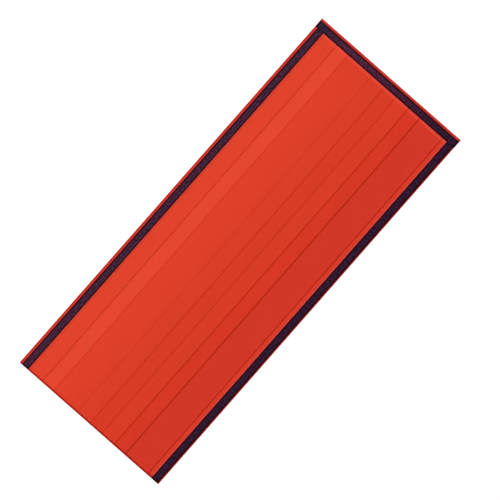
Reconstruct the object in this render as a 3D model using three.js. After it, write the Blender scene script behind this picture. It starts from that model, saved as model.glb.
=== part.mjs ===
// An emergency bivy sack laid out flat and empty on the ground.
// Two film panels are sealed to each other along both long edges and across the foot, a dark tape
// is bonded over each sealed edge, and the mouth at the other end is left open for the sleeper.
// X runs across the sack, Y from the mouth to the foot, Z up, all in millimetres. The origin is on
// the ground under the middle of the sack.

import * as THREE from 'three';

// Cut size of each panel: 2.9 by 6.5 feet
const sackWidth = 883.9;
const sackLength = 1981.2;

// Thickness of film and tape, and the gap left between pieces that lie on each other
const filmThickness = 1.2;
const tapeThickness = 1.0;
const pieceGap = 0.3;

// Sealed rim: the panels touch for sealWidth, then the top one rolls up off the lower one
const sealWidth = 3;
const rollWidth = 12;
const rollHeight = 2;

// Air left in the sack arches the top panel, and the arch comes down to the foot over footTaper
const archHeight = 17;
const footTaper = 200;

// The film is turned over once at the mouth
const hemWidth = 9;
const hemStep = 2;
const hemRise = 0.6;

// Tapes and their distances from the cut edges, a little uneven as on a hand-laid seam
const leftTapeMargin = 11.7;
const leftTapeWidth = 38;
const rightTapeMargin = 7.0;
const rightTapeWidth = 39.5;
const footTapeMargin = 10.8;
const footTapeWidth = 34.9;

// How the foot tape climbs over the side tapes
const climbClearance = 1;
const climbRun = 3.5;

// Packing folds that run the whole length of the top panel, from left to right. Each is a small
// step down to the right, and the film climbs slowly from its foot to the next one.
// across: place of the step's foot from the left edge. steep: how wide the step is. drop: how far
// it goes down. top: how far its upper edge stands off the plain arch.
// The first row is the dip where the film comes out from under the left tape.
const folds = [
  { across: 60.5, steep: 10, drop: 0.35, top: 0.0 },
  { across: 140.8, steep: 10, drop: 0.75, top: 1.0 },
  { across: 210.3, steep: 10, drop: 0.65, top: 2.6 },
  { across: 360.0, steep: 12, drop: 0.4, top: 0.8 },
  { across: 441.9, steep: 10, drop: 0.8, top: -0.1 },
  { across: 515.7, steep: 10, drop: 0.5, top: -0.9 },
  { across: 595.7, steep: 10, drop: 0.85, top: 0.9 },
  { across: 667.9, steep: 10, drop: 1.45, top: 1.8 },
  { across: 816.6, steep: 10, drop: 1.15, top: 0.4 },
];

// Colours of the two materials
const filmColour = 0xe0442c;
const tapeColour = 0x3a2236;

const leftTapeEnd = leftTapeMargin + leftTapeWidth;
const rightTapeEnd = sackWidth - rightTapeMargin;
const rightTapeStart = rightTapeEnd - rightTapeWidth;

function clamp01(value) {
  return Math.min(1, Math.max(0, value));
}

// Eases from 0 to 1 with a level start and end
function ease(value) {
  const t = clamp01(value);
  return t * t * (3 - 2 * t);
}

// Height between points given as [place, height] pairs in order
function alongLine(points, place) {
  const next = points.findIndex(([at]) => at >= place);
  if (next <= 0) {
    return points[next === 0 ? 0 : points.length - 1][1];
  }
  const [startPlace, startHeight] = points[next - 1];
  const [endPlace, endHeight] = points[next];
  const share = (place - startPlace) / (endPlace - startPlace);
  return startHeight + share * (endHeight - startHeight);
}

// How far the roll beside a sealed edge has risen, as a share, at an inset from that edge
function rollShare(inset) {
  return ease((inset - sealWidth) / rollWidth);
}

// The plain crown of the top panel above its sealed rim
function crown(across, along) {
  const sideInset = Math.min(across, sackWidth - across);
  const footInset = sackLength - along;
  const roll = rollHeight * rollShare(sideInset) * rollShare(footInset);
  const share = clamp01((across - sealWidth) / (sackWidth - 2 * sealWidth));
  const arch = archHeight * (4 * share * (1 - share)) ** 2;
  const footShare = clamp01((footInset - sealWidth) / footTaper);
  return roll + arch * (1 - (1 - footShare) ** 2);
}

// How far the panel stands off the plain arch between the tapes, from step to step
const reliefLine = [
  [leftTapeEnd, 0],
  ...folds.flatMap(({ across, steep, drop, top }) => [[across - steep, top], [across, top - drop]]),
  [rightTapeStart, 0],
];

// The folds fade out under the foot tape
function foldRelief(across, along) {
  const fade = ease((sackLength - along - footTapeMargin) / footTapeWidth);
  return alongLine(reliefLine, across) * fade;
}

function topPanelUnderside(across, along) {
  return filmThickness + pieceGap + crown(across, along) + foldRelief(across, along);
}

function topPanelUpperside(across, along) {
  const hem = hemRise * (1 - ease((along - hemWidth) / hemStep));
  return topPanelUnderside(across, along) + filmThickness + hem;
}

function sideTapeUnderside(across, along) {
  return topPanelUpperside(across, along) + pieceGap;
}

// How far the foot tape has climbed onto a side tape, as a share
function climbShare(across) {
  const onLeft = across < sackWidth / 2;
  const [start, end] = onLeft ? [leftTapeMargin, leftTapeEnd] : [rightTapeStart, rightTapeEnd];
  const fromStart = (across - start + climbClearance + climbRun) / climbRun;
  const fromEnd = (end + climbClearance + climbRun - across) / climbRun;
  return clamp01(Math.min(fromStart, fromEnd));
}

function footTapeUnderside(across, along) {
  const climb = climbShare(across) * (tapeThickness + pieceGap);
  return topPanelUpperside(across, along) + pieceGap + climb;
}

// Counts from 0 up to but not including the count
function steps(count) {
  return Array.from({ length: count }, (_, i) => i);
}

// Evenly spaced places from start to end, both included
function spread(start, end, parts) {
  return steps(parts + 1).map((i) => start + ((end - start) * i) / parts);
}

// Sorts places and drops those that fall almost on their neighbour
function inOrder(places, closest = 0.2) {
  const sorted = [...places].sort((a, b) => a - b);
  return sorted.filter((place, i) => i === 0 || place - sorted[i - 1] > closest);
}

// Splits every field between neighbouring places so that none is longer than the longest allowed
function filled(places, longest) {
  const splits = places.slice(1).flatMap((place, i) => {
    const parts = Math.ceil((place - places[i]) / longest);
    return spread(places[i], place, parts).slice(1);
  });
  return [places[0], ...splits];
}

// Places where the sheets may bend over and beside a side tape
function tapePlaces(start, end) {
  return [
    ...[start - climbClearance - climbRun, start - climbClearance],
    ...spread(start, end, 4),
    ...[end + climbClearance, end + climbClearance + climbRun],
  ];
}

const rollPlaces = [0, sealWidth, ...spread(sealWidth, sealWidth + rollWidth, 3).slice(1, 3)];
const foldBends = folds.flatMap(({ across, steep }) => [across - steep, across]);
const longestField = 40;
const acrossPlaces = filled(
  inOrder([
    ...rollPlaces,
    ...tapePlaces(leftTapeMargin, leftTapeEnd),
    ...foldBends,
    ...tapePlaces(rightTapeStart, rightTapeEnd),
    ...rollPlaces.map((place) => sackWidth - place),
  ]),
  longestField,
);

const footTapeOuter = sackLength - footTapeMargin;
const footTapeInner = footTapeOuter - footTapeWidth;
const taperStart = sackLength - sealWidth - footTaper;
const alongPlaces = inOrder([
  ...[0, hemWidth, hemWidth + hemStep],
  ...spread(hemWidth + hemStep, taperStart, 4),
  ...spread(taperStart, footTapeInner, 4),
  ...spread(footTapeInner, footTapeOuter, 4),
  ...[sackLength - sealWidth, sackLength],
]);

function within(places, low, high) {
  const tolerance = 0.01;
  return places.filter((place) => place > low - tolerance && place < high + tolerance);
}

// A closed sheet over a grid of places: its lower face, its upper face and the edge around them
function sheetGeometry(across, along, underside, upperside) {
  const columns = across.length;
  const rows = along.length;
  const layerSize = columns * rows;
  const positions = [];
  for (const face of [underside, upperside]) {
    for (const y of along) {
      for (const x of across) {
        positions.push(x - sackWidth / 2, y - sackLength / 2, face(x, y));
      }
    }
  }

  const indices = [];
  for (let row = 0; row < rows - 1; row += 1) {
    for (let column = 0; column < columns - 1; column += 1) {
      const a = row * columns + column;
      const b = a + 1;
      const c = b + columns;
      const d = a + columns;
      indices.push(a, c, b, a, d, c);
      indices.push(...[a, b, c, a, c, d].map((corner) => corner + layerSize));
    }
  }

  // The border's corners in turn: mouth edge, right edge, foot edge, left edge
  const at = (column, row) => row * columns + column;
  const border = [
    ...steps(columns - 1).map((i) => at(i, 0)),
    ...steps(rows - 1).map((i) => at(columns - 1, i)),
    ...steps(columns - 1).map((i) => at(columns - 1 - i, rows - 1)),
    ...steps(rows - 1).map((i) => at(0, rows - 1 - i)),
  ];
  border.forEach((start, i) => {
    const end = border[(i + 1) % border.length];
    indices.push(start, end, end + layerSize, start, end + layerSize, start + layerSize);
  });

  const geometry = new THREE.BufferGeometry();
  geometry.setAttribute('position', new THREE.Float32BufferAttribute(positions, 3));
  geometry.setIndex(indices);
  geometry.computeVertexNormals();
  return geometry;
}

const film = new THREE.MeshStandardMaterial({ color: filmColour, roughness: 0.45, metalness: 0 });
const tape = new THREE.MeshStandardMaterial({ color: tapeColour, roughness: 0.8, metalness: 0 });

function piece(name, geometry, material) {
  const mesh = new THREE.Mesh(geometry, material);
  mesh.name = name;
  return mesh;
}

// The lower panel lies flat on the ground
function bottomPanel() {
  const corners = [[0, sackWidth], [0, sackLength]];
  const geometry = sheetGeometry(...corners, () => 0, () => filmThickness);
  return piece('bottom_panel', geometry, film);
}

function topPanel() {
  const geometry = sheetGeometry(acrossPlaces, alongPlaces, topPanelUnderside, topPanelUpperside);
  return piece('top_panel', geometry, film);
}

function thickened(underside, thickness) {
  return (across, along) => underside(across, along) + thickness;
}

// A side tape starts flush with the mouth and ends under the foot tape
function sideTape(name, start, end) {
  const across = within(acrossPlaces, start, end);
  const along = within(alongPlaces, 0, footTapeOuter);
  const upperside = thickened(sideTapeUnderside, tapeThickness);
  return piece(name, sheetGeometry(across, along, sideTapeUnderside, upperside), tape);
}

// The foot tape runs from cut edge to cut edge, over both side tapes
function footTape() {
  const along = within(alongPlaces, footTapeInner, footTapeOuter);
  const upperside = thickened(footTapeUnderside, tapeThickness);
  const geometry = sheetGeometry(acrossPlaces, along, footTapeUnderside, upperside);
  return piece('foot_tape', geometry, tape);
}

const sack = new THREE.Group();
sack.add(bottomPanel());
sack.add(topPanel());
sack.add(sideTape('left_tape', leftTapeMargin, leftTapeEnd));
sack.add(sideTape('right_tape', rightTapeStart, rightTapeEnd));
sack.add(footTape());

export default sack;
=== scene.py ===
# %% [markdown]
# # An emergency bivy sack in thin film
#
# The sack is a long envelope of two red-orange films. Dark woven tape shuts it along both sides and
# across the foot, and the mouth is open. It is shown empty, laid out on a pale floor, with the
# lengthwise folds of its packing still in it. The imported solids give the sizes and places, and this
# script dresses them in thin cloth with its real finish.

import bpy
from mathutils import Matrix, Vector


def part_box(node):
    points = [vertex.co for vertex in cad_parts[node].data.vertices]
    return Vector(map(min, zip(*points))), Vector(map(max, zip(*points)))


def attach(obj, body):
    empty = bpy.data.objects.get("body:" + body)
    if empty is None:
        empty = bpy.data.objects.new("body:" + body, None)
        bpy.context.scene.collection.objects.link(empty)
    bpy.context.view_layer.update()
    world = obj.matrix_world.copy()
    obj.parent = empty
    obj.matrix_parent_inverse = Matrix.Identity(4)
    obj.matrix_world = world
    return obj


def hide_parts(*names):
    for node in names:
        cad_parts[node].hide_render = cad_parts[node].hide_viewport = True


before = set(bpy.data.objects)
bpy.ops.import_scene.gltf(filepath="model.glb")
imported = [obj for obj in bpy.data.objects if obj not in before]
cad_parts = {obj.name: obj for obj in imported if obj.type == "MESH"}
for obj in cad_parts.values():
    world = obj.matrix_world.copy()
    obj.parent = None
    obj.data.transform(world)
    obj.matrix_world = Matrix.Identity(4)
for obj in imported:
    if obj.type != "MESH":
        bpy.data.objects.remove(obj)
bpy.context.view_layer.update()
print("packed pieces:", ", ".join(sorted(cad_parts)))

# %% Tools and units
import math
from collections import namedtuple

import bpy
import numpy as np
from mathutils import Matrix, Vector

MM = 0.001
scene = bpy.context.scene

# %% [markdown]
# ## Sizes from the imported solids
#
# The sack's length, width, margins and tape widths could be typed in again, but then cloth and
# solids might drift apart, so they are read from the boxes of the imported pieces. Places across the
# sack are measured from its left cut edge, and places along it from the mouth, as a maker would with
# a tape measure.

# %% Read the sizes
sack_low, sack_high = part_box("bottom_panel")
left_tape_low, left_tape_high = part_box("left_tape")
right_tape_low, right_tape_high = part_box("right_tape")
foot_tape_low, foot_tape_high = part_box("foot_tape")

sack_width = sack_high.x - sack_low.x
sack_length = sack_high.y - sack_low.y
left_margin = left_tape_low.x - sack_low.x
right_margin = sack_high.x - right_tape_high.x
foot_margin = sack_high.y - foot_tape_high.y
left_tape_width = left_tape_high.x - left_tape_low.x
right_tape_width = right_tape_high.x - right_tape_low.x
foot_tape_width = foot_tape_high.y - foot_tape_low.y
left_tape_end = left_margin + left_tape_width
right_tape_start = sack_width - right_margin - right_tape_width
print(f"sack {sack_width:.3f} by {sack_length:.3f} m")
tape_widths = left_tape_width, right_tape_width, foot_tape_width
print("tape widths in mm:", [round(width / MM, 1) for width in tape_widths])

# %% [markdown]
# ## Camera
#
# The reference shows the sack with its edges exactly parallel. A camera with perspective would draw
# the far end smaller, so this one is orthographic. The outline is 458 by 184 pixels, narrower than
# 2.9 feet would be beside 6.5 feet from straight above, so the camera leans over the left edge until
# the width is foreshortened by that much. Its own axes are built from the sack's: first the lean,
# then the turn that makes the long side rise to the right.

# %% Place the camera
picture_side = 500
long_side_pixels = 458.25
short_side_pixels = 184.45
middle_pixels = (240.16, 251.26)
rise_to_the_right = math.radians(48.68)
camera_distance = 6.0

metres_per_pixel = sack_length / long_side_pixels
lean = math.acos(short_side_pixels * metres_per_pixel / sack_width)
across_seen = Vector((math.cos(lean), 0, math.sin(lean)))
along_seen = Vector((0, 1, 0))
backward = Vector((-math.sin(lean), 0, math.cos(lean)))
rightward = across_seen * math.sin(rise_to_the_right) + along_seen * math.cos(rise_to_the_right)
upward = along_seen * math.sin(rise_to_the_right) - across_seen * math.cos(rise_to_the_right)

picture_middle = picture_side / 2
shift_right = (picture_middle - middle_pixels[0]) * metres_per_pixel
shift_up = (middle_pixels[1] - picture_middle) * metres_per_pixel
camera_place = rightward * shift_right + upward * shift_up + backward * camera_distance

camera_data = bpy.data.cameras.new("camera")
camera_data.type = "ORTHO"
camera_data.ortho_scale = picture_side * metres_per_pixel
camera = bpy.data.objects.new("camera", camera_data)
axes = Matrix((rightward, upward, backward)).transposed().to_4x4()
camera.matrix_world = Matrix.Translation(camera_place) @ axes
scene.collection.objects.link(camera)
scene.camera = camera
print(f"camera leans {math.degrees(lean):.1f} degrees, {metres_per_pixel / MM:.2f} mm a pixel")

# %% [markdown]
# ## The form of the top panel
#
# Real film is a few hundredths of a millimetre thick, so nearly all its shape is in how it lies. The
# top panel leaves the bottom one in a small roll beside each sealed edge, arches over the air that
# is left in the sack, and comes down to the foot. A cloth simulation could find such a form, but it
# wouldn't keep straight folds in their places. So the form is one height function of the place on
# the panel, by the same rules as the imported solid.

# %% Crown of the top panel
seal_width = 3 * MM
roll_width = 12 * MM
roll_height = 2 * MM
arch_height = 17 * MM
foot_taper = 200 * MM


def ease(value):
    """Goes from 0 to 1 with a level start and end."""
    t = np.clip(value, 0, 1)
    return t * t * (3 - 2 * t)


def side_inset(across):
    return np.minimum(across, sack_width - across)


def foot_inset(along):
    return sack_length - along


def crown(across, along):
    """Height of the plain arch and its rolled edges above the sealed rim."""
    side_roll = ease((side_inset(across) - seal_width) / roll_width)
    foot_roll = ease((foot_inset(along) - seal_width) / roll_width)
    share = np.clip((across - seal_width) / (sack_width - 2 * seal_width), 0, 1)
    arch = arch_height * (4 * share * (1 - share)) ** 2
    foot_share = np.clip((foot_inset(along) - seal_width) / foot_taper, 0, 1)
    return roll_height * side_roll * foot_roll + arch * (1 - (1 - foot_share) ** 2)


middle_height = crown(np.array(sack_width / 2), np.array(sack_length / 2))
print(f"the crown stands {float(middle_height) / MM:.1f} mm above the rim")

# %% [markdown]
# ## Packing folds
#
# The sack was folded lengthwise before it was rolled, and the film keeps those lines. Each one is a
# small step down to the right, after which the film climbs slowly to the next, so each field between
# two folds has its own tilt and its own tone. The steps could be cut into the mesh by hand, but a
# short table is easier to measure and to change. A step is a smooth curve here, where the packed
# solid has straight bends, and before some steps the film swells up a little, which catches the
# light.
#
# The table goes from left to right, in millimetres: where a step ends, how wide and how deep it is,
# how far its top stands off the crown, and how high the film swells before it. The first step is the
# dip where the film comes out from under the left tape. The last column says how pale the field
# after the step is, from 0 to 1: a painted sheen, standing for light the film reflects there.

# %% Table of folds
Fold = namedtuple("Fold", "across steep drop top swell pale")
folds = [
    Fold(across=60.5, steep=10, drop=0.35, top=0.0, swell=0.0, pale=0.62),
    Fold(across=140.8, steep=10, drop=0.75, top=1.0, swell=0.1, pale=0.95),
    Fold(across=210.3, steep=10, drop=0.65, top=2.6, swell=0.0, pale=0.42),
    Fold(across=360.0, steep=12, drop=0.4, top=0.8, swell=0.0, pale=0.37),
    Fold(across=441.9, steep=10, drop=0.8, top=-0.1, swell=0.0, pale=0.2),
    Fold(across=515.7, steep=10, drop=0.5, top=-0.9, swell=0.25, pale=0.26),
    Fold(across=595.7, steep=10, drop=0.85, top=0.9, swell=0.15, pale=0.0),
    Fold(across=667.9, steep=10, drop=1.45, top=1.8, swell=0.0, pale=0.05),
    Fold(across=816.6, steep=10, drop=1.15, top=0.4, swell=0.0, pale=0.2),
]
# How far before a step its swell begins, in millimetres like the table
swell_width = 10


def folds_fade(along):
    """The folds are pressed flat under the foot tape."""
    return ease((foot_inset(along) - foot_margin) / foot_tape_width)


def fold_relief(across, along):
    """How far folds and tilted fields stand off the plain crown."""
    places, heights = [left_tape_end / MM], [0]
    for fold in folds:
        places += [fold.across - fold.steep, fold.across]
        heights += [fold.top, fold.top - fold.drop]
    places.append(right_tape_start / MM)
    heights.append(0)
    relief = np.interp(across / MM, places, heights)
    for fold in folds:
        share = 1 + (across / MM - fold.across) / fold.steep
        on_step = (share > 0) & (share < 1)
        relief = np.where(on_step, fold.top - fold.drop * ease(share), relief)
        crest = fold.across - fold.steep
        swell_places = crest - swell_width, crest, fold.across
        relief = relief + np.interp(across / MM, swell_places, (0, fold.swell, 0))
    return relief * MM * folds_fade(along)


print(f"{len(folds)} steps, the deepest {max(fold.drop for fold in folds)} mm")

# %% [markdown]
# ## Sheets as closed meshes
#
# A film is modelled as two faces a little apart, joined round their border, so it is a closed body
# that prints and bakes cleanly. A plane with a Solidify modifier would be closed too, but writing
# the points directly is as short and keeps the heights of the upper face exact. The grid is fine
# where the form bends, at the hem, the rolls and the folds, and coarse elsewhere. Each point keeps
# its flat place on the cut film as a UV in metres, so that every pattern later follows the cloth and
# not the room.

# %% Spacing of the grid
film_thickness = 0.5 * MM
film_gap = 0.15 * MM
hem_width = 9 * MM
hem_step = 2 * MM
hem_rise = 0.25 * MM

closest_places = 0.4 * MM
fine_spacing = 1 * MM
field_spacing = 6 * MM
hem_spacing = 3 * MM
hem_step_spacing = 0.5 * MM
long_spacing = 20 * MM
foot_zone = 60 * MM
foot_spacing = 5 * MM
# How far a fine zone reaches past its form, in millimetres
zone_reach = 2


def in_order(places):
    """Sorts places and drops those almost on their neighbour."""
    kept = []
    for place in sorted(places):
        if not kept or place - kept[-1] > closest_places:
            kept.append(place)
    return np.array(kept)


def even(start, end, spacing):
    """Evenly spaced places from start to end, both included."""
    steps = max(1, round((end - start) / spacing))
    return list(np.linspace(start, end, steps + 1))


print(f"film drawn {film_thickness / MM:.1f} mm thick")

# %% Places of the grid
rim_zone = seal_width + roll_width + zone_reach * MM
rim_places = even(0, rim_zone, fine_spacing)
across_places = rim_places + [sack_width - place for place in rim_places]
across_places += even(rim_zone, sack_width - rim_zone, field_spacing)
for fold in folds:
    start = fold.across - fold.steep - swell_width
    end = fold.across + zone_reach
    across_places += even(start * MM, end * MM, fine_spacing)
across_places = in_order(across_places)

hem_zone = hem_width + hem_step
foot_zone_start = sack_length - foot_zone
along_places = even(0, hem_width, hem_spacing) + even(hem_width, hem_zone, hem_step_spacing)
along_places += even(hem_zone, foot_zone_start, long_spacing)
along_places += even(foot_zone_start, sack_length - rim_zone, foot_spacing)
along_places += [sack_length - place for place in rim_places]
along_places = in_order(along_places)
print(f"panel grid {len(across_places)} by {len(along_places)} places")


# %% Faces and flat places of a sheet
def sheet_faces(rows, columns):
    """Corners of the upper, lower and border faces over two layers of a grid."""
    index = np.arange(rows * columns).reshape(rows, columns)
    corners = index[:-1, :-1], index[:-1, 1:], index[1:, 1:], index[1:, :-1]
    top = np.stack(corners, axis=-1).reshape(-1, 4) + index.size
    bottom = np.stack(corners[::-1], axis=-1).reshape(-1, 4)
    border = np.concatenate([index[0, :-1], index[:-1, -1], index[-1, :0:-1], index[:0:-1, 0]])
    after = np.roll(border, -1)
    rim = np.stack([border, after, after + index.size, border + index.size], axis=-1)
    return np.concatenate([top, bottom, rim])


def write_uv(mesh, flat_places):
    """Stores each point's flat place, in metres, as the mesh's UV map."""
    corner_points = np.zeros(len(mesh.loops), np.int32)
    mesh.loops.foreach_get("vertex_index", corner_points)
    layer = mesh.uv_layers.new(name="flat")
    layer.uv.foreach_set("vector", flat_places[corner_points].ravel().astype(np.float32))


# %% Sheet builder
sharpest_smooth_angle = math.radians(50)


def smooth_object(name, mesh):
    """An object whose bends are shaded smooth and whose edges stay sharp."""
    mesh.shade_smooth()
    mesh.set_sharp_from_angle(angle=sharpest_smooth_angle)
    smooth = bpy.data.objects.new(name, mesh)
    scene.collection.objects.link(smooth)
    return smooth


def sheet_object(name, across, along, upper_height):
    """A closed film whose upper face is upper_height(across, along)."""
    across_grid, along_grid = np.meshgrid(across, along)
    upper = upper_height(across_grid, along_grid)
    x = across_grid + sack_low.x
    y = along_grid + sack_low.y
    layers = [np.stack([x, y, height], axis=-1) for height in (upper - film_thickness, upper)]
    points = np.concatenate([layer.reshape(-1, 3) for layer in layers])
    mesh = bpy.data.meshes.new(name)
    mesh.from_pydata(points.tolist(), [], sheet_faces(*upper.shape).tolist())
    flat_places = np.stack([across_grid, along_grid], axis=-1).reshape(-1, 2)
    write_uv(mesh, np.concatenate([flat_places, flat_places]))
    return smooth_object(name, mesh)


# %% [markdown]
# ## The two panels
#
# The bottom panel lies flat on the floor and carries everything. The top panel follows the crown
# and the folds, and stands a little higher where its hem is turned over at the mouth. Thin film is
# never quite smooth, so a slow unevenness of a few tenths of a millimetre is added where it is free,
# and fades out towards the tapes. A Displace modifier with a clouds texture would do that too, but a
# few waves from a fixed seed are easier to fade out just where the tapes begin.

# %% Hem and unevenness
wave_seed = 7
wave_count = 14
shortest_wave, longest_wave = 0.07, 0.24
wave_steepness = 0.55 * MM
free_width_at_side = 0.06
free_width_at_foot = 0.12


def hem(along):
    """The film is double where it is turned over at the mouth."""
    return hem_rise * (1 - ease((along - hem_width) / hem_step))


def unevenness(across, along):
    """Slow random waves of the free film, the same on each run, the long ones higher."""
    random = np.random.default_rng(wave_seed)
    waves = np.zeros_like(across)
    for _ in range(wave_count):
        heading = random.uniform(0, math.pi)
        wave_length = random.uniform(shortest_wave, longest_wave)
        start = random.uniform(0, 2 * math.pi)
        distance = across * math.cos(heading) + along * math.sin(heading)
        waves += np.sin(2 * math.pi * distance / wave_length + start) * wave_length
    freedom = ease((side_inset(across) - left_tape_end) / free_width_at_side)
    freedom = freedom * ease((foot_inset(along) - foot_margin) / free_width_at_foot)
    return wave_steepness * waves * freedom


# %% Build the panels
bottom_spacing = 20 * MM


def top_panel_height(across, along):
    rim_height = 2 * film_thickness + film_gap
    form = crown(across, along) + fold_relief(across, along) + unevenness(across, along)
    return rim_height + form + hem(along)


def bottom_panel_height(across, along):
    return np.full_like(across, film_thickness)


bottom_across = in_order(rim_places + even(0, sack_width, bottom_spacing))
bottom_along = in_order(even(0, sack_length, bottom_spacing))
bottom_panel = sheet_object("film_bottom", bottom_across, bottom_along, bottom_panel_height)
top_panel = sheet_object("film_top", across_places, along_places, top_panel_height)
for panel in (bottom_panel, top_panel):
    print(f"{panel.name}: {len(panel.data.polygons)} faces")

# %% [markdown]
# ## Small tools for node trees
#
# Node trees make the finishes and lay the tapes. They could be wired by hand in Blender's node
# editors, but written out they can be read and built again. These helpers add a node in a line or
# two, with its settings and its inputs, so that a tree reads from top to bottom like a recipe.


# %% Helpers for every tree
def add_node(tree, kind, inputs=None, **settings):
    """Adds a node, with values or links for its inputs, given by name or by number."""
    node = tree.nodes.new(kind)
    for name, value in settings.items():
        setattr(node, name, value)
    for name, value in (inputs or {}).items():
        if isinstance(value, bpy.types.NodeSocket):
            tree.links.new(value, node.inputs[name])
        else:
            node.inputs[name].default_value = value
    return node


def add_math(tree, operation, *values):
    """A Math node whose inputs are numbers or links."""
    inputs = dict(enumerate(values))
    return add_node(tree, "ShaderNodeMath", inputs, operation=operation).outputs[0]


def split_place(tree, place):
    """The outputs X, Y and Z of a place."""
    return add_node(tree, "ShaderNodeSeparateXYZ", {0: place}).outputs


def new_tree(name, kind, inputs, outputs):
    """A node tree with named inputs and outputs, each given as (name, socket type)."""
    tree = bpy.data.node_groups.new(name, kind)
    for label, socket in inputs:
        tree.interface.new_socket(label, in_out="INPUT", socket_type=socket)
    for label, socket in outputs:
        tree.interface.new_socket(label, in_out="OUTPUT", socket_type=socket)
    entry = tree.nodes.new("NodeGroupInput")
    return tree, entry.outputs


# %% [markdown]
# ## Painted light across the sack
#
# The colour of film and tape is painted to change slowly across the sack: painted light falloff and
# sheen make it mostly brighter on the side the light comes from and deeper on the other. A Color Ramp
# in each material could hold that, but one shader group with named
# inputs serves them all: a colour at the left edge, one at a turning place and one at the right
# edge, with even changes between them. Colours are given as linear red, green and blue.

# %% Painted light across the sack
Tones = namedtuple("Tones", "left middle right turning")
# A Mix node has sockets for each kind of data, and these are the numbers of those for colour
mix_first, mix_second, mix_result = 6, 7, 2


def mix_colours(tree, share, first, second):
    """Goes from the first colour to the second as share goes from 0 to 1."""
    return add_node(tree, "ShaderNodeMix", {0: share, mix_first: first, mix_second: second},
                    data_type="RGBA").outputs[mix_result]


def painted_light_group():
    inputs = [("Place across", "NodeSocketFloat"), ("Turning place", "NodeSocketFloat")]
    inputs += [(f"{name} colour", "NodeSocketColor") for name in ("Left", "Middle", "Right")]
    tree, given = new_tree("Painted light across", "ShaderNodeTree", inputs, [("Colour", "NodeSocketColor")])
    place, turning = given["Place across"], given["Turning place"]
    to_middle = add_node(tree, "ShaderNodeMapRange", {"Value": place, "From Max": turning})
    to_right = add_node(tree, "ShaderNodeMapRange", {
        "Value": place, "From Min": turning, "From Max": sack_width,
    })
    colour = mix_colours(tree, to_middle.outputs[0], given["Left colour"], given["Middle colour"])
    colour = mix_colours(tree, to_right.outputs[0], colour, given["Right colour"])
    add_node(tree, "NodeGroupOutput", {"Colour": colour})
    return tree


def painted_light_colour(tree, place_across, tones):
    """A colour with painted light and shade over the width of the sack, as its tones say."""
    return add_node(tree, "ShaderNodeGroup", {
        "Place across": place_across, "Turning place": tones.turning * sack_width,
        "Left colour": (*tones.left, 1), "Middle colour": (*tones.middle, 1),
        "Right colour": (*tones.right, 1),
    }, node_tree=tone_across).outputs["Colour"]


tone_across = painted_light_group()
print(f"{tone_across.name}: {len(tone_across.nodes)} nodes")

# %% [markdown]
# ## Film finish
#
# The film is smooth and satin, red-orange right through. What keeps it from looking like paint is a
# very fine crinkle left by the packing, a painted sheen on some fields between the folds, and lines.
# Painted shade darkens the film along its cut edges, along the turned hem at the mouth and in every
# fold. Outside the tapes hot sealing bars have left a duller rim, and painted shade makes it deeper
# beside the tapes. Just inside the tapes lies a band of painted shade, a little greyer than the film,
# and along the foot tape a narrow painted highlight is lighter than the rest. An image could carry
# all this, but it would blur close up, so it is worked out from the flat place on the film. The
# crinkle and the lines are shader groups, which keeps the material itself short.

# %% Crinkle of thin film
crinkle_wander = 0.02
crease_steepness = 6.0
grain_share = 0.35


def crinkle_group():
    tree, given = new_tree("Film crinkle", "ShaderNodeTree",
                           [("Flat place", "NodeSocketVector"), ("Cell size", "NodeSocketFloat"),
                            ("Grain size", "NodeSocketFloat")],
                           [("Height", "NodeSocketFloat"), ("Tone", "NodeSocketFloat")])
    cells_per_metre = add_math(tree, "DIVIDE", 1.0, given["Cell size"])
    grains_per_metre = add_math(tree, "DIVIDE", 1.0, given["Grain size"])
    wander = add_node(tree, "ShaderNodeTexNoise", {
        "Vector": given["Flat place"], "Scale": cells_per_metre, "Detail": 2.0,
    })
    bent = add_node(tree, "ShaderNodeVectorMath",
                    {0: wander.outputs["Color"], "Scale": crinkle_wander}, operation="SCALE")
    bent_place = add_node(tree, "ShaderNodeVectorMath",
                          {0: given["Flat place"], 1: bent.outputs[0]}, operation="ADD")
    cells = add_node(tree, "ShaderNodeTexVoronoi", {
        "Vector": bent_place.outputs[0], "Scale": cells_per_metre,
    }, feature="DISTANCE_TO_EDGE")
    slope = add_math(tree, "MULTIPLY", cells.outputs["Distance"], crease_steepness)
    crease = add_math(tree, "MINIMUM", slope, 1.0)
    grain = add_node(tree, "ShaderNodeTexNoise", {
        "Vector": given["Flat place"], "Scale": grains_per_metre, "Detail": 3.0,
    })
    height = add_math(tree, "MULTIPLY_ADD", grain.outputs["Fac"], grain_share, crease)
    add_node(tree, "NodeGroupOutput", {"Height": height, "Tone": wander.outputs["Fac"]})
    return tree


film_crinkle = crinkle_group()
print(f"{film_crinkle.name}: {len(film_crinkle.nodes)} nodes")

# %% Widths of the film's painted lines
# How far from its middle a line is at full strength, and how much further it fades
LineWidth = namedtuple("LineWidth", "full fade")
# The mouth, cut, rim, fold and beside-tape lines carry painted shade, the foot's line a painted
# highlight
mouth_line = LineWidth(full=5.5 * MM, fade=4.5 * MM)
side_cut_line = LineWidth(full=3.5 * MM, fade=4 * MM)
foot_cut_line = LineWidth(full=2.5 * MM, fade=3 * MM)
sealed_rim_shade_band = LineWidth(full=3.5 * MM, fade=4 * MM)
shade_beside_tape_line = LineWidth(full=4 * MM, fade=5 * MM)
foot_highlight_line = LineWidth(full=3 * MM, fade=5 * MM)
foot_highlight_inset = 8 * MM
fold_line = LineWidth(full=0.5 * MM, fade=6.5 * MM)
foot_cut_share = 0.25
print(f"the mouth's line ends {(mouth_line.full + mouth_line.fade) / MM:.0f} mm from the edge")


# %% Lines along the edges and tapes
def line_mask(tree, distance, width):
    """A mask that is 1 near a line and fades to 0, as the line's width says."""
    return add_node(tree, "ShaderNodeMapRange", {
        "Value": distance, "From Min": width.full + width.fade, "From Max": width.full,
    }, interpolation_type="SMOOTHSTEP").outputs[0]


def distance_to(tree, place, line):
    return add_math(tree, "ABSOLUTE", add_math(tree, "SUBTRACT", place, line))


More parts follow.
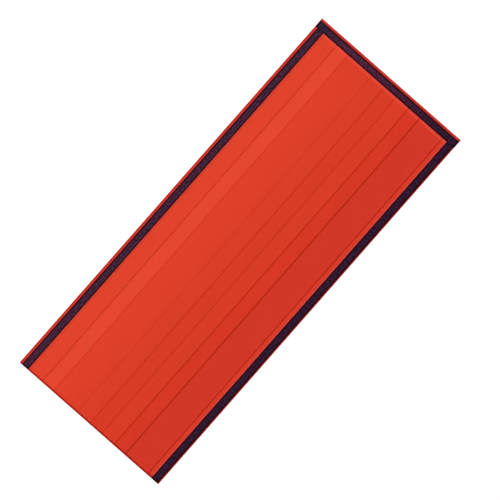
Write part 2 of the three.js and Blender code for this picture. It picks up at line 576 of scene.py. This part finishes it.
def nearest_distance(tree, *lines):
    """Distance from the nearest of several lines, each given as (place, line)."""
    nearest = distance_to(tree, *lines[0])
    for line in lines[1:]:
        nearest = add_math(tree, "MINIMUM", nearest, distance_to(tree, *line))
    return nearest


def edge_masks(tree, across, along):
    """Masks of painted shade along the mouth, the cut edges and both sides of the tapes, and of a
    painted highlight beside the foot tape.
    """
    foot_distance = add_math(tree, "SUBTRACT", sack_length, along)
    side_distance = add_math(tree, "MINIMUM", across, add_math(tree, "SUBTRACT", sack_width, across))
    side_cut = line_mask(tree, side_distance, side_cut_line)
    foot_cut = line_mask(tree, foot_distance, foot_cut_line)
    foot_cut = add_math(tree, "MULTIPLY", foot_cut, foot_cut_share)
    outside_tape = nearest_distance(tree, (foot_distance, foot_margin), (across, left_margin),
                                    (across, sack_width - right_margin))
    foot_tape_inner = foot_margin + foot_tape_width
    inside_tape = nearest_distance(tree, (foot_distance, foot_tape_inner), (across, left_tape_end),
                                   (across, right_tape_start))
    foot_highlight_distance = distance_to(tree, foot_distance, foot_tape_inner + foot_highlight_inset)
    return {
        "Mouth": line_mask(tree, along, mouth_line),
        "Edge": add_math(tree, "MAXIMUM", side_cut, foot_cut),
        "Sealed rim and shade": line_mask(tree, outside_tape, sealed_rim_shade_band),
        "Shade beside tape": line_mask(tree, inside_tape, shade_beside_tape_line),
        "Foot highlight": line_mask(tree, foot_highlight_distance, foot_highlight_line),
    }


# %% Painted shade of the folds and painted sheen of their fields
def fold_masks(tree, across):
    """A line of painted shade on each step, as strong as the step is deep, and the painted sheen of
    each field.
    """
    pressed, pale, pale_before = 0.0, 0.0, 0.0
    for fold in folds:
        step_middle = (fold.across - fold.steep / 2) * MM
        mask = line_mask(tree, distance_to(tree, across, step_middle), fold_line)
        pressed = add_math(tree, "MULTIPLY_ADD", mask, fold.drop, pressed)
        passed = add_node(tree, "ShaderNodeMapRange", {
            "Value": across, "From Min": (fold.across - fold.steep) * MM,
            "From Max": fold.across * MM,
        }).outputs[0]
        pale = add_math(tree, "MULTIPLY_ADD", passed, fold.pale - pale_before, pale)
        pale_before = fold.pale
    return {"Folds": pressed, "Pale": pale}


def painted_light_lines_group():
    names = "Mouth", "Edge", "Sealed rim and shade", "Shade beside tape", "Foot highlight", "Folds", "Pale"
    tree, given = new_tree("Painted light lines", "ShaderNodeTree", [("Flat place", "NodeSocketVector")],
                           [(name, "NodeSocketFloat") for name in names])
    place = split_place(tree, given["Flat place"])
    masks = {**edge_masks(tree, place["X"], place["Y"]), **fold_masks(tree, place["X"])}
    add_node(tree, "NodeGroupOutput", masks)
    return tree


pressed_lines = painted_light_lines_group()
print(f"{pressed_lines.name}: {len(pressed_lines.nodes)} nodes")

# %% Film colours
# Painted light falloff and sheen across the film, from the lit left to the right
film_painted_light = Tones(left=(0.570, 0.0272, 0.0072), middle=(0.572, 0.0270, 0.0072),
                   right=(0.563, 0.0258, 0.0110), turning=0.62)
# Painted sheen that makes some fields between the folds paler
film_sheen_colour = (0.574, 0.0410, 0.0140)
# Painted shade for the mouth's hem, the cut edges and the folds
film_shade_colour = (0.315, 0.0032, 0.0010)
Accent = namedtuple("Accent", "colour share")
# Painted highlight and shades, laid over the film's colour one after another, each by its share
film_accents = {
    # A painted highlight along the foot tape's inner side
    "Foot highlight": Accent(colour=(0.66, 0.045, 0.018), share=0.8),
    # Painted shade beside the tapes' inner edges, a little greyer than the film
    "Shade beside tape": Accent(colour=(0.45, 0.075, 0.070), share=0.3),
    # Painted shade on the sealed rim beside the tapes' outer edges
    "Sealed rim and shade": Accent(colour=(0.410, 0.023, 0.016), share=0.95),
}
# How strongly painted shade darkens the cut edges and the folds
cut_shade_depth = 0.9
fold_shade_depth = 0.12
tone_low, tone_range = 0.97, 0.06
film_gloss = 0.6
rim_dullness = 0.7
cell_size = 14 * MM
grain_size = 1.2 * MM
crinkle_relief = 0.05 * MM
print("accents on the film:", ", ".join(film_accents))


# %% Film colour and shine
def film_colour(tree, place_across, lines, crinkle):
    """The colour with painted light across, painted sheen on pale fields, painted highlight and shade
    accents, painted shade in the lines, and slight cloudiness.
    """
    colour = painted_light_colour(tree, place_across, film_painted_light)
    colour = mix_colours(tree, lines["Pale"], colour, (*film_sheen_colour, 1))
    for name, accent in film_accents.items():
        share = add_math(tree, "MULTIPLY", lines[name], accent.share)
        colour = mix_colours(tree, share, colour, (*accent.colour, 1))
    # Painted shade at the cut edges, the mouth and the folds
    cut = add_math(tree, "MULTIPLY", lines["Edge"], cut_shade_depth)
    shade_share = add_math(tree, "MAXIMUM", lines["Mouth"], cut)
    shade_share = add_math(tree, "MULTIPLY_ADD", lines["Folds"], fold_shade_depth, shade_share)
    colour = mix_colours(tree, shade_share, colour, (*film_shade_colour, 1))
    brightness = add_math(tree, "MULTIPLY_ADD", crinkle["Tone"], tone_range, tone_low)
    return add_node(tree, "ShaderNodeVectorMath", {0: colour, "Scale": brightness},
                    operation="SCALE").outputs[0]


def film_shine(tree, lines):
    """Gloss of the free film, which the sealed rim and every pressed line lack."""
    dulled = add_math(tree, "MULTIPLY", lines["Sealed rim and shade"], rim_dullness)
    for name in ("Folds", "Mouth", "Edge"):
        dulled = add_math(tree, "MAXIMUM", dulled, lines[name])
    shining = add_math(tree, "SUBTRACT", 1.0, add_math(tree, "MINIMUM", dulled, 1.0))
    return add_math(tree, "MULTIPLY", shining, film_gloss)


# %% Film material
def new_material(name, fixed):
    """A material whose shader has the given fixed values."""
    material = bpy.data.materials.new(name)
    material.use_nodes = True
    shader = material.node_tree.nodes["Principled BSDF"]
    for label, value in fixed.items():
        shader.inputs[label].default_value = value
    return material


def film_material():
    material = new_material("film", {
        "Roughness": 0.7, "Specular IOR Level": 0.05, "Coat Roughness": 0.35, "Coat IOR": 1.5,
    })
    tree = material.node_tree
    shader = tree.nodes["Principled BSDF"]
    flat_place = add_node(tree, "ShaderNodeUVMap", uv_map="flat").outputs[0]
    crinkle = add_node(tree, "ShaderNodeGroup", {
        "Flat place": flat_place, "Cell size": cell_size, "Grain size": grain_size,
    }, node_tree=film_crinkle).outputs
    lines = add_node(tree, "ShaderNodeGroup", {"Flat place": flat_place},
                     node_tree=pressed_lines).outputs
    place_across = split_place(tree, flat_place)["X"]
    colour = film_colour(tree, place_across, lines, crinkle)
    bump = add_node(tree, "ShaderNodeBump", {
        "Height": crinkle["Height"], "Distance": crinkle_relief, "Strength": 1.0,
    })
    tree.links.new(colour, shader.inputs["Base Color"])
    tree.links.new(film_shine(tree, lines), shader.inputs["Coat Weight"])
    tree.links.new(bump.outputs[0], shader.inputs["Normal"])
    return material


film = film_material()
for panel in (bottom_panel, top_panel):
    panel.data.materials.append(film)
print("film finish on both panels")

# %% [markdown]
# ## Tape finish
#
# The tape is a close plain weave in dark plum threads. An image of cloth would show where it
# repeats, so warp and weft are two sine waves that take turns on top. They are written in metres
# along the strip, so the threads run with each tape. The tone is mottled where the tape was pressed
# on. Painted shade darkens both long edges, with a painted reflection of the red film in it, less
# where the foot tape lies on another tape, and the cut ends are darkened almost to black. The plum
# is painted lighter on the left and deeper on the right, where the light falls off, with a painted
# sheen on the foot tape.


# %% Weave
def weave_group():
    tree, given = new_tree("Plain weave", "ShaderNodeTree",
                           [("Flat place", "NodeSocketVector"), ("Thread size", "NodeSocketFloat")],
                           [("Height", "NodeSocketFloat"), ("Thread", "NodeSocketFloat")])
    scaled = add_node(tree, "ShaderNodeVectorMath", {
        0: given["Flat place"], "Scale": add_math(tree, "DIVIDE", math.pi, given["Thread size"]),
    }, operation="SCALE")
    place = split_place(tree, scaled.outputs[0])
    warp = add_math(tree, "ABSOLUTE", add_math(tree, "SINE", place["X"]))
    weft = add_math(tree, "ABSOLUTE", add_math(tree, "SINE", place["Y"]))
    turns = add_math(tree, "MULTIPLY", add_math(tree, "COSINE", place["X"]),
                     add_math(tree, "COSINE", place["Y"]))
    over = add_math(tree, "MULTIPLY_ADD", turns, 0.5, 0.5)
    height = add_node(tree, "ShaderNodeMix", {"Factor": over, "A": warp, "B": weft}).outputs[0]
    add_node(tree, "NodeGroupOutput", {"Height": height, "Thread": over})
    return tree


plain_weave = weave_group()
print(f"{plain_weave.name}: {len(plain_weave.nodes)} nodes")

# %% Tape colours
# Painted light: the left tape lighter, the right one deeper, as the light falls off
lit_left_plum = (0.0460, 0.0177, 0.0382)
shaded_right_plum = (0.0278, 0.0101, 0.0286)
side_tape_painted_light = Tones(left=lit_left_plum, middle=lit_left_plum, right=shaded_right_plum, turning=0.1)
# Painted sheen on the foot tape, strongest a quarter of the way across
foot_tape_painted_light = Tones(left=(0.0255, 0.0150, 0.0335), middle=(0.0660, 0.0190, 0.0415),
                   right=(0.0236, 0.0094, 0.0258), turning=0.25)
light_tape_tint = (1.4, 1.4, 1.4)
dark_tape_tint = (0.35, 0.35, 0.35)
# Painted shade along the tape's long edges, reddened by a painted reflection of the film
edge_shade_tint = (0.66, 0.12, 0.14)
edge_shade_tint_on_tape = (0.65, 0.42, 0.55)
# Darker towards the cut ends
dark_end_tint = (0.08, 0.08, 0.08)
edge_shade_line = LineWidth(full=4.5 * MM, fade=4.0 * MM)
dark_end_line = LineWidth(full=6.0 * MM, fade=4.0 * MM)
thread_size = 1.1 * MM
thread_relief = 0.12 * MM
thread_contrast = 0.15
mottles_per_metre = 90.0
mottle_low, mottle_high = 0.35, 0.62
mottle_contrast = 0.85
fade_at_tape = 2 * MM
print(f"threads {thread_size / MM:.1f} mm apart")


# %% Tints of the tape
def tinted(tree, colour, tint):
    """A colour darkened or lightened by three factors."""
    return add_node(tree, "ShaderNodeVectorMath", {0: colour, 1: tint},
                    operation="MULTIPLY").outputs[0]


def inset_in_strip(tree, place, extent):
    """Distance from the nearer of a strip's two edges."""
    return add_math(tree, "MINIMUM", place, add_math(tree, "SUBTRACT", extent, place))


def mottled_weave(tree, flat_place, weave, plum):
    """The plum colour, darker where it was pressed on and where weft lies over warp."""
    mottle = add_node(tree, "ShaderNodeTexNoise", {
        "Vector": flat_place, "Scale": mottles_per_metre, "Detail": 3.0, "Roughness": 0.6,
    })
    pressed = add_node(tree, "ShaderNodeMapRange", {
        "Value": mottle.outputs["Fac"], "From Min": mottle_low, "From Max": mottle_high,
        "To Max": mottle_contrast,
    }).outputs[0]
    dark_share = add_math(tree, "MULTIPLY_ADD", weave["Thread"], thread_contrast, pressed)
    return mix_colours(tree, dark_share, tinted(tree, plum, light_tape_tint),
                       tinted(tree, plum, dark_tape_tint))


def edge_shade_tint_over_tapes(tree, place_across):
    """Painted shade and red reflection on the foot tape's long edges, softer where they lie on a side
    tape.
    """
    left_middle = left_margin + left_tape_width / 2
    right_middle = right_tape_start + right_tape_width / 2
    on_left = line_mask(tree, distance_to(tree, place_across, left_middle),
                        LineWidth(full=left_tape_width / 2, fade=fade_at_tape))
    on_right = line_mask(tree, distance_to(tree, place_across, right_middle),
                         LineWidth(full=right_tape_width / 2, fade=fade_at_tape))
    on_tape = add_math(tree, "MAXIMUM", on_left, on_right)
    return mix_colours(tree, on_tape, (*edge_shade_tint, 1), (*edge_shade_tint_on_tape, 1))


# %% Tape material
def tape_material(name, plan, on_side_tapes):
    material = new_material(name, {"Roughness": 0.5, "Specular IOR Level": 0.03})
    tree = material.node_tree
    shader = tree.nodes["Principled BSDF"]
    flat_place = add_node(tree, "ShaderNodeUVMap", uv_map="flat").outputs[0]
    strip_place = split_place(tree, flat_place)
    weave = add_node(tree, "ShaderNodeGroup", {"Flat place": flat_place, "Thread size": thread_size},
                     node_tree=plain_weave).outputs
    place = add_node(tree, "ShaderNodeTexCoord").outputs["Object"]
    place_across = add_math(tree, "SUBTRACT", split_place(tree, place)["X"], sack_low.x)

    plum = painted_light_colour(tree, place_across, plan.tones)
    woven = mottled_weave(tree, flat_place, weave, plum)
    # Painted shade and reflection along the long edges
    edge_shade = edge_shade_tint_over_tapes(tree, place_across) if on_side_tapes else edge_shade_tint
    at_edge = line_mask(tree, inset_in_strip(tree, strip_place["X"], plan.width), edge_shade_line)
    edged = mix_colours(tree, at_edge, woven, tinted(tree, plum, edge_shade))
    # The tape darkens almost to black towards its cut ends
    at_end = line_mask(tree, inset_in_strip(tree, strip_place["Y"], plan.length), dark_end_line)
    colour = mix_colours(tree, at_end, edged, tinted(tree, edged, dark_end_tint))
    bump = add_node(tree, "ShaderNodeBump", {
        "Height": weave["Height"], "Distance": thread_relief, "Strength": 1.0,
    })
    tree.links.new(colour, shader.inputs["Base Color"])
    tree.links.new(bump.outputs[0], shader.inputs["Normal"])
    return material


# %% [markdown]
# ## Tapes laid by Geometry Nodes
#
# A tape is a strip that follows whatever lies under it. A Shrinkwrap modifier could press one strip
# onto the film, but a node tree lays all three by the same rule. It makes a flat strip, drops each
# of its points straight down onto the cloth, and gives the strip its thickness and a slightly
# thicker woven edge. The foot tape is dropped onto the panel and both side tapes, so it climbs over
# their ends by itself, and a blur turns that step into a soft ramp.

# %% First part of the tape tree: a flat strip above the cloth
drop_height = 0.1
blur_steps = 3
merge_distance = 0.01 * MM


def flat_strip(tree, given):
    """A strip of the given size, marked with its own flat places and lifted above the sack."""
    strip = add_node(tree, "GeometryNodeMeshGrid", {
        "Size X": given["Width"], "Size Y": given["Length"],
        "Vertices X": given["Columns"], "Vertices Y": given["Rows"],
    })
    size = add_node(tree, "ShaderNodeCombineXYZ", {"X": given["Width"], "Y": given["Length"]})
    flat_place = add_node(tree, "ShaderNodeVectorMath",
                          {0: strip.outputs["UV Map"], 1: size.outputs[0]}, operation="MULTIPLY")
    marked = add_node(tree, "GeometryNodeStoreNamedAttribute", {
        "Geometry": strip.outputs["Mesh"], "Name": "flat", "Value": flat_place.outputs[0],
    }, data_type="FLOAT2", domain="CORNER")
    middle = add_node(tree, "ShaderNodeCombineXYZ", {
        "X": given["Middle across"], "Y": given["Middle along"], "Z": drop_height,
    })
    turn = add_node(tree, "ShaderNodeCombineXYZ", {"Z": given["Turn"]})
    lifted = add_node(tree, "GeometryNodeTransform", {
        "Geometry": marked.outputs[0], "Translation": middle.outputs[0], "Rotation": turn.outputs[0],
    })
    return lifted.outputs[0]


# %% Second part: the strip dropped onto whatever lies below it
def dropped_strip(tree, given, strip):
    """Moves each point straight down to the highest thing under it."""
    ground = add_node(tree, "GeometryNodeJoinGeometry")
    for name in ("Cloth", "Tape below left", "Tape below right"):
        below = add_node(tree, "GeometryNodeObjectInfo", {"Object": given[name]},
                         transform_space="RELATIVE")
        tree.links.new(below.outputs["Geometry"], ground.inputs[0])
    drop = add_node(tree, "GeometryNodeRaycast", {
        "Target Geometry": ground.outputs[0], "Ray Direction": (0, 0, -1),
        "Ray Length": 2 * drop_height,
    }, data_type="FLOAT", mapping="INTERPOLATED")
    dropped = add_node(tree, "GeometryNodeSetPosition", {
        "Geometry": strip, "Position": drop.outputs["Hit Position"],
        "Selection": drop.outputs["Is Hit"],
    })
    return dropped.outputs[0]


def softened_strip(tree, given, strip):
    """Bridges sharp steps from above, and keeps the strip a little clear of what it lies on."""
    place = add_node(tree, "GeometryNodeInputPosition")
    height = split_place(tree, place.outputs[0])["Z"]
    soft_height = add_node(tree, "GeometryNodeBlurAttribute",
                           {"Value": height, "Iterations": blur_steps}, data_type="FLOAT").outputs[0]
    raised = add_math(tree, "SUBTRACT", add_math(tree, "MAXIMUM", height, soft_height), height)
    rise = add_node(tree, "ShaderNodeCombineXYZ", {
        "Z": add_math(tree, "ADD", raised, given["Clearance"]),
    })
    laid = add_node(tree, "GeometryNodeSetPosition", {"Geometry": strip, "Offset": rise.outputs[0]})
    return laid.outputs[0]


# %% Third part: the strip gets its thickness
def edge_thickness(tree, given):
    """The tape's thickness, a little more along its two woven edges."""
    flat = add_node(tree, "GeometryNodeInputNamedAttribute", {"Name": "flat"},
                    data_type="FLOAT_VECTOR").outputs[0]
    inset = inset_in_strip(tree, split_place(tree, flat)["X"], given["Width"])
    share = add_math(tree, "DIVIDE", inset, given["Edge width"])
    nearness = add_math(tree, "SUBTRACT", 1.0, add_math(tree, "MINIMUM", share, 1.0))
    bead = add_math(tree, "MULTIPLY", nearness, given["Edge thickness"])
    return add_math(tree, "ADD", given["Thickness"], bead)


def thick_strip(tree, given, strip):
    """A closed body: the strip as underside, its copy as upper face, and walls between them."""
    upward = add_node(tree, "ShaderNodeCombineXYZ", {"Z": edge_thickness(tree, given)})
    top = add_node(tree, "GeometryNodeExtrudeMesh", {
        "Mesh": strip, "Offset": upward.outputs[0], "Offset Scale": 1.0, "Individual": False,
    }, mode="FACES")
    underside = add_node(tree, "GeometryNodeFlipFaces", {"Mesh": strip})
    both = add_node(tree, "GeometryNodeJoinGeometry")
    for geometry in (top.outputs["Mesh"], underside.outputs[0]):
        tree.links.new(geometry, both.inputs[0])
    closed = add_node(tree, "GeometryNodeMergeByDistance",
                      {"Geometry": both.outputs[0], "Distance": merge_distance})
    return closed.outputs[0]


# %% The whole tape tree
def tape_tree():
    objects = "Cloth", "Tape below left", "Tape below right"
    sizes = ("Width", "Length", "Middle across", "Middle along", "Turn", "Clearance",
             "Thickness", "Edge thickness", "Edge width")
    inputs = [(name, "NodeSocketObject") for name in objects]
    inputs += [(name, "NodeSocketFloat") for name in sizes]
    inputs += [("Columns", "NodeSocketInt"), ("Rows", "NodeSocketInt")]
    inputs += [("Material", "NodeSocketMaterial")]
    tree, given = new_tree("Tape laid on cloth", "GeometryNodeTree", inputs,
                           [("Geometry", "NodeSocketGeometry")])
    strip = flat_strip(tree, given)
    strip = dropped_strip(tree, given, strip)
    strip = softened_strip(tree, given, strip)
    tape = thick_strip(tree, given, strip)
    real = add_node(tree, "GeometryNodeRealizeInstances", {"Geometry": tape})
    finished = add_node(tree, "GeometryNodeSetMaterial", {
        "Geometry": real.outputs[0], "Material": given["Material"],
    })
    add_node(tree, "NodeGroupOutput", {"Geometry": finished.outputs[0]})
    return tree


lay_tape = tape_tree()
print(f"{lay_tape.name}: {len(lay_tape.nodes)} nodes")

# %% [markdown]
# ## Laying the three tapes
#
# Each tape gets its own sizes through the tree's named inputs. A modifier's inputs are set by their
# identifiers before it first runs. The result is then taken as a plain mesh, so nothing in the
# finished sack depends on the tree any more.

# %% Plans of the tapes
tape_thickness = 0.45 * MM
tape_clearance = 0.2 * MM
bead_thickness = 0.15 * MM
bead_width = 2.5 * MM
column_spacing = 1.5 * MM
side_row_spacing = 10 * MM
foot_row_spacing = 2 * MM
inset_at_cut_edge = 0.1 * MM

side_tape_length = sack_length - foot_margin - inset_at_cut_edge
side_tape_middle = inset_at_cut_edge + side_tape_length / 2
TapePlan = namedtuple("TapePlan", "width length middle turn row_spacing tones")
left_plan = TapePlan(
    width=left_tape_width, length=side_tape_length,
    middle=(left_margin + left_tape_width / 2, side_tape_middle), turn=0,
    row_spacing=side_row_spacing, tones=side_tape_painted_light,
)
right_plan = left_plan._replace(
    width=right_tape_width,
    middle=(right_tape_start + right_tape_width / 2, side_tape_middle),
)
foot_plan = TapePlan(
    width=foot_tape_width, length=sack_width - 2 * inset_at_cut_edge,
    middle=(sack_width / 2, sack_length - foot_margin - foot_tape_width / 2),
    turn=math.radians(-90), row_spacing=foot_row_spacing, tones=foot_tape_painted_light,
)
print(f"side tapes {side_tape_length:.3f} m long, foot tape {foot_plan.length:.3f} m")


# %% Lay the tapes
def laid_tape(name, plan, below=()):
    """A tape with its finish, dropped onto the film and the tapes below."""
    values = {
        "Cloth": top_panel, "Width": plan.width, "Length": plan.length, "Turn": plan.turn,
        "Middle across": plan.middle[0] + sack_low.x, "Middle along": plan.middle[1] + sack_low.y,
        "Columns": round(plan.width / column_spacing) + 1,
        "Rows": round(plan.length / plan.row_spacing) + 1,
        "Clearance": tape_clearance, "Thickness": tape_thickness,
        "Edge thickness": bead_thickness, "Edge width": bead_width,
        "Material": tape_material(name, plan, on_side_tapes=bool(below)),
    }
    values.update(zip(("Tape below left", "Tape below right"), below))
    carrier = bpy.data.objects.new("carrier", bpy.data.meshes.new("carrier"))
    scene.collection.objects.link(carrier)
    modifier = carrier.modifiers.new("lay", "NODES")
    modifier.node_group = lay_tape
    sockets = {item.name: item.identifier for item in lay_tape.interface.items_tree}
    for label, value in values.items():
        modifier[sockets[label]] = value
    evaluated = carrier.evaluated_get(bpy.context.evaluated_depsgraph_get())
    mesh = bpy.data.meshes.new_from_object(evaluated)
    mesh.name = name
    bpy.data.objects.remove(carrier)
    return smooth_object(name, mesh)


left_tape = laid_tape("tape_left", left_plan)
right_tape = laid_tape("tape_right", right_plan)
foot_tape = laid_tape("tape_foot", foot_plan, below=(left_tape, right_tape))
for tape in (left_tape, right_tape, foot_tape):
    print(f"{tape.name}: {len(tape.data.polygons)} faces")

# %% [markdown]
# ## Floor and light
#
# The picture is lit softly from the sack's left, so the left half is a little brighter, the right
# half deeper in colour, and every fold has a dark side. A large lamp close by would be as soft, but
# the floor would grow darker to one side, so there is a broad sun from the left and a faint one from
# above. Both are kept out of the reflections, because film seen at a low angle would otherwise
# mirror them and turn white. The floor glows a little, like a light table, so that no shadow greys
# it beside the sack. A pale surround fills the shadows, and it is white below the horizon, where low
# views look past the floor. The Standard view transform shows the colours as they were set.

# %% Floor
floor_half = 40.0
floor_drop = 0.2 * MM

floor_material = new_material("floor", {
    "Base Color": (0.25, 0.25, 0.25, 1), "Roughness": 0.9, "Specular IOR Level": 0.0,
    "Emission Color": (1, 1, 1, 1), "Emission Strength": 0.78,
})
floor_corners = [(-1, -1), (1, -1), (1, 1), (-1, 1)]
floor_mesh = bpy.data.meshes.new("floor")
floor_mesh.from_pydata([(x * floor_half, y * floor_half, -floor_drop) for x, y in floor_corners],
                       [], [(0, 1, 2, 3)])
floor_mesh.materials.append(floor_material)
floor = bpy.data.objects.new("floor", floor_mesh)
scene.collection.objects.link(floor)
print(f"floor {2 * floor_half:.0f} m square, {floor_drop / MM:.1f} mm under the sack")

# %% Light
surround_strength = 0.3
below_horizon_strength = 1.1
SoftLight = namedtuple("SoftLight", "strength height heading softness")
soft_lights = {
    "side_light": SoftLight(strength=5.9, height=28, heading=180, softness=60),
    "top_light": SoftLight(strength=0.16, height=85, heading=180, softness=50),
}


def add_surround():
    """A white world, dim above the horizon and bright below it."""
    world = bpy.data.worlds.new("surround")
    world.use_nodes = True
    tree = world.node_tree
    background = tree.nodes["Background"]
    background.inputs["Color"].default_value = (1, 1, 1, 1)
    direction = add_node(tree, "ShaderNodeTexCoord").outputs["Generated"]
    below = add_math(tree, "LESS_THAN", split_place(tree, direction)["Z"], 0.0)
    extra = below_horizon_strength - surround_strength
    strength = add_math(tree, "MULTIPLY_ADD", below, extra, surround_strength)
    tree.links.new(strength, background.inputs["Strength"])
    scene.world = world


def add_soft_light(name, light):
    """A far soft light; height and heading point from the sack towards it, in degrees."""
    height, heading = math.radians(light.height), math.radians(light.heading)
    towards = Vector((math.cos(heading) * math.cos(height), math.sin(heading) * math.cos(height),
                      math.sin(height)))
    data = bpy.data.lights.new(name, "SUN")
    data.energy = light.strength
    data.angle = math.radians(light.softness)
    lamp = bpy.data.objects.new(name, data)
    lamp.rotation_mode = "QUATERNION"
    lamp.rotation_quaternion = towards.to_track_quat("Z", "Y")
    lamp.visible_glossy = False
    scene.collection.objects.link(lamp)


add_surround()
for name, light in soft_lights.items():
    add_soft_light(name, light)
    print(f"{name} stands {light.height} degrees above the floor")
scene.view_settings.view_transform = "Standard"

# %% [markdown]
# ## Ties to the imported model
#
# Every piece rides on the sack's one body and stands for its solid, which is hidden. The size the
# films are cut to is printed at the end.

# %% Tie the pieces to the model
for piece, node, slot in ((bottom_panel, "bottom_panel", "film"), (top_panel, "top_panel", "film"),
                          (left_tape, "left_tape", "seam_tape"),
                          (right_tape, "right_tape", "seam_tape"),
                          (foot_tape, "foot_tape", "seam_tape")):
    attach(piece, "root")
    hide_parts(node)
    print(f"{piece.name} stands for {node}")

print(f"each film is cut to {sack_width:.3f} by {sack_length:.3f} m")
